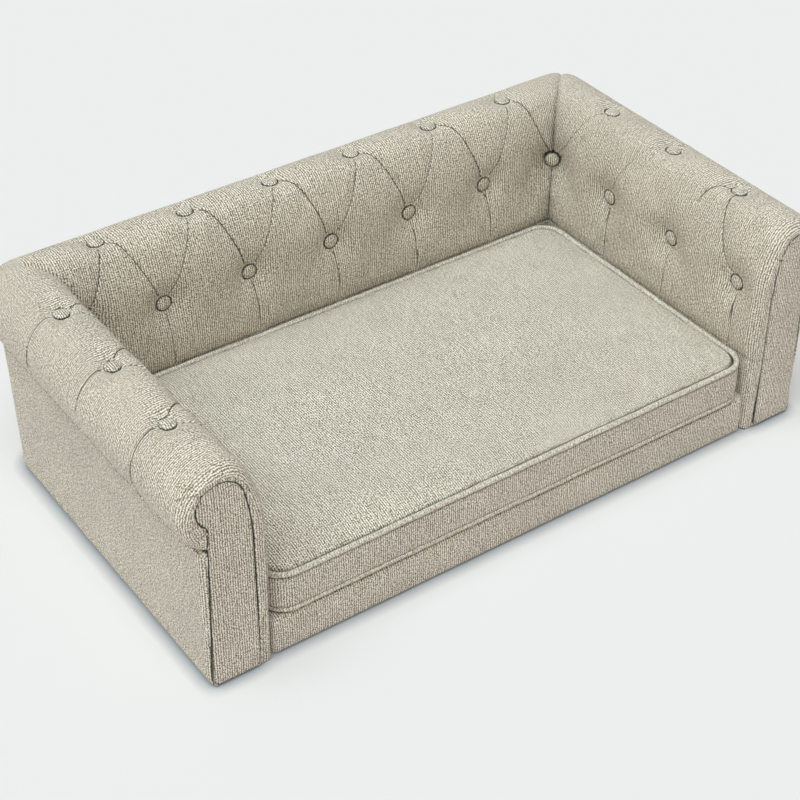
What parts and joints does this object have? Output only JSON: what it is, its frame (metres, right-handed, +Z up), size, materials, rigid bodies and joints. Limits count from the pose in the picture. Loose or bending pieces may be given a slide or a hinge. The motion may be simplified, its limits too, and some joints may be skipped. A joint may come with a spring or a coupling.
{
  "type": "dog sofa bed",
  "caption": "Low upholstered pet sofa with rolled buttoned arms and back on a timber frame, and a loose crowned seat cushion in a piped, zipped cover.",
  "frame": {"origin": "on the floor under the middle of the whole sofa", "axes": "+X across the sofa, to the right seen from the front; +Y to the back; +Z up"},
  "size_m": [0.862, 0.486, 0.281],
  "materials": {
    "linen_weave": "woven slub linen-look upholstery fabric, oatmeal beige",
    "plywood": "sanded birch plywood, unfinished",
    "pine": "planed pine, unfinished",
    "foam": "open-cell cushion foam, cut",
    "twine": "twisted nylon twine",
    "steel": "zinc plated steel",
    "glide_plastic": "moulded nylon, black",
    "dust_cloth": "non-woven black cambric",
    "zip_tape": "woven polyester zip tape",
    "zip_plastic": "moulded zip teeth",
    "zip_metal": "die-cast slider, painted to match the fabric"
  },
  "bodies": {
    "sofa_frame": {"back_board": "plywood", "back_cover": "linen_weave", "back_foam": "foam", "back_lower_buttons": "linen_weave", "back_roll_foam": "foam", "back_top_rail": "pine", "back_upper_buttons": "linen_weave", "button_ties": "twine", "centre_rail": "pine", "corner_buttons": "linen_weave", "deck_screws": "steel", "dust_cover": "dust_cloth", "facing_pins": "steel", "floor_glides": "glide_plastic", "frame_screws": "steel", "front_rail": "pine", "front_rail_cover": "linen_weave", "left_arm_board": "plywood", "left_arm_buttons": "linen_weave", "left_arm_cover": "linen_weave", "left_arm_foam": "foam", "left_corner_post": "pine", "left_facing_board": "plywood", "left_facing_cover": "linen_weave", "left_front_board": "plywood", "left_outer_cover": "linen_weave", "left_roll_foam": "foam", "left_side_rail": "pine", "left_top_rail": "pine", "rear_outer_cover": "linen_weave", "rear_rail": "pine", "right_arm_board": "plywood", "right_arm_buttons": "linen_weave", "right_arm_cover": "linen_weave", "right_arm_foam": "foam", "right_corner_post": "pine", "right_facing_board": "plywood", "right_facing_cover": "linen_weave", "right_front_board": "plywood", "right_outer_cover": "linen_weave", "right_roll_foam": "foam", "right_side_rail": "pine", "right_top_rail": "pine", "seat_deck": "plywood", "tie_washers": "steel"},
    "cushion": {"cushion_foam": "foam", "cushion_top_panel": "linen_weave", "cushion_bottom_panel": "linen_weave", "cushion_boxing": "linen_weave", "top_piping": "linen_weave", "bottom_piping": "linen_weave", "zip_tapes": "zip_tape", "zip_teeth": "zip_plastic", "zip_stops": "zip_plastic"},
    "slider": {"zip_slider": "zip_metal"}
  },
  "joints": [
    {"name": "cushion_lift", "type": "slide", "parent": "sofa_frame", "child": "cushion", "axis": [0, 0, 1], "range_m": [0, 0.25]},
    {"name": "zip_slide", "type": "slide", "parent": "cushion", "child": "slider", "axis": [1, 0, 0], "range_m": [0, 0.434]}
  ]
}
